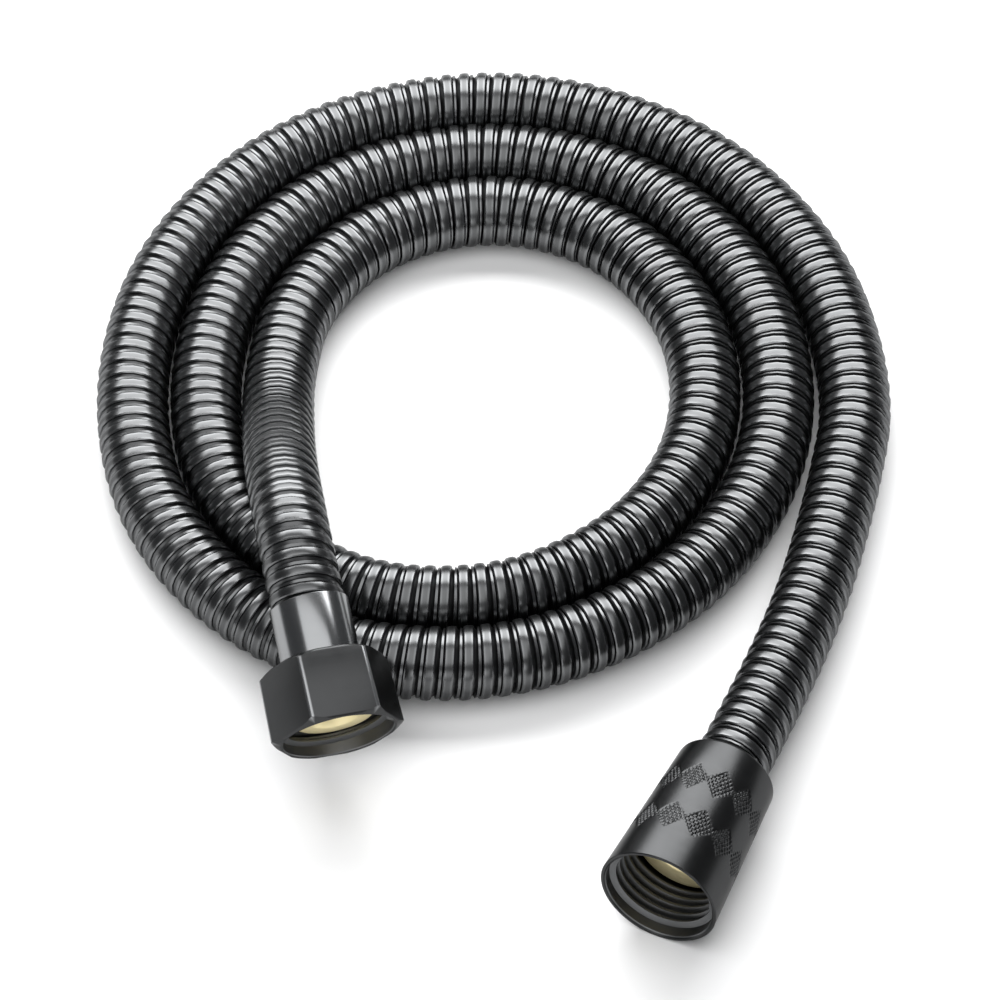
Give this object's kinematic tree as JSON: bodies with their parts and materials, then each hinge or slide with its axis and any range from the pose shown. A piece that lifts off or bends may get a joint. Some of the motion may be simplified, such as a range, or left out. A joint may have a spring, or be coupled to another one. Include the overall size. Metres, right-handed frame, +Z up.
{
  "type": "shower hose",
  "caption": "Stripwound shower hose laid in a loose flat coil, with a hexagonal union nut at one end and a tapered knurled union nut at the other.",
  "frame": {"origin": "on the floor, under the middle of the whole part's box", "axes": "+Z up, square to the flat coil; -Y towards the side where both nuts point; +X towards the side of the knurled nut"},
  "size_m": [0.1544, 0.2098, 0.0339],
  "materials": {
    "black_strip": "satin",
    "yarn": "matt",
    "tube": "matt",
    "black_nut": "satin",
    "black_ferrule": "gloss",
    "brass": "turned"
  },
  "bodies": {
    "hose": {"outer_hose": "black_strip", "yarn_braid": "yarn", "inner_tube": "tube", "hex_tail": "brass", "hex_ferrule": "black_ferrule", "knurled_tail": "brass", "knurled_ferrule": "black_ferrule"},
    "hex_union_nut": {"hex_nut": "black_nut"},
    "knurled_union_nut": {"knurled_nut": "black_nut"}
  },
  "joints": [
    {"name": "hex_nut_swivel", "type": "hinge", "parent": "hose", "child": "hex_union_nut", "pos_m": [-0.02974, -0.06182, 0.01893], "axis": [0.225, -0.9229, -0.3123], "continuous": true},
    {"name": "knurled_nut_swivel", "type": "hinge", "parent": "hose", "child": "knurled_union_nut", "pos_m": [0.03608, -0.08587, 0.01043], "axis": [-0.4156, -0.9078, 0.057], "continuous": true}
  ]
}
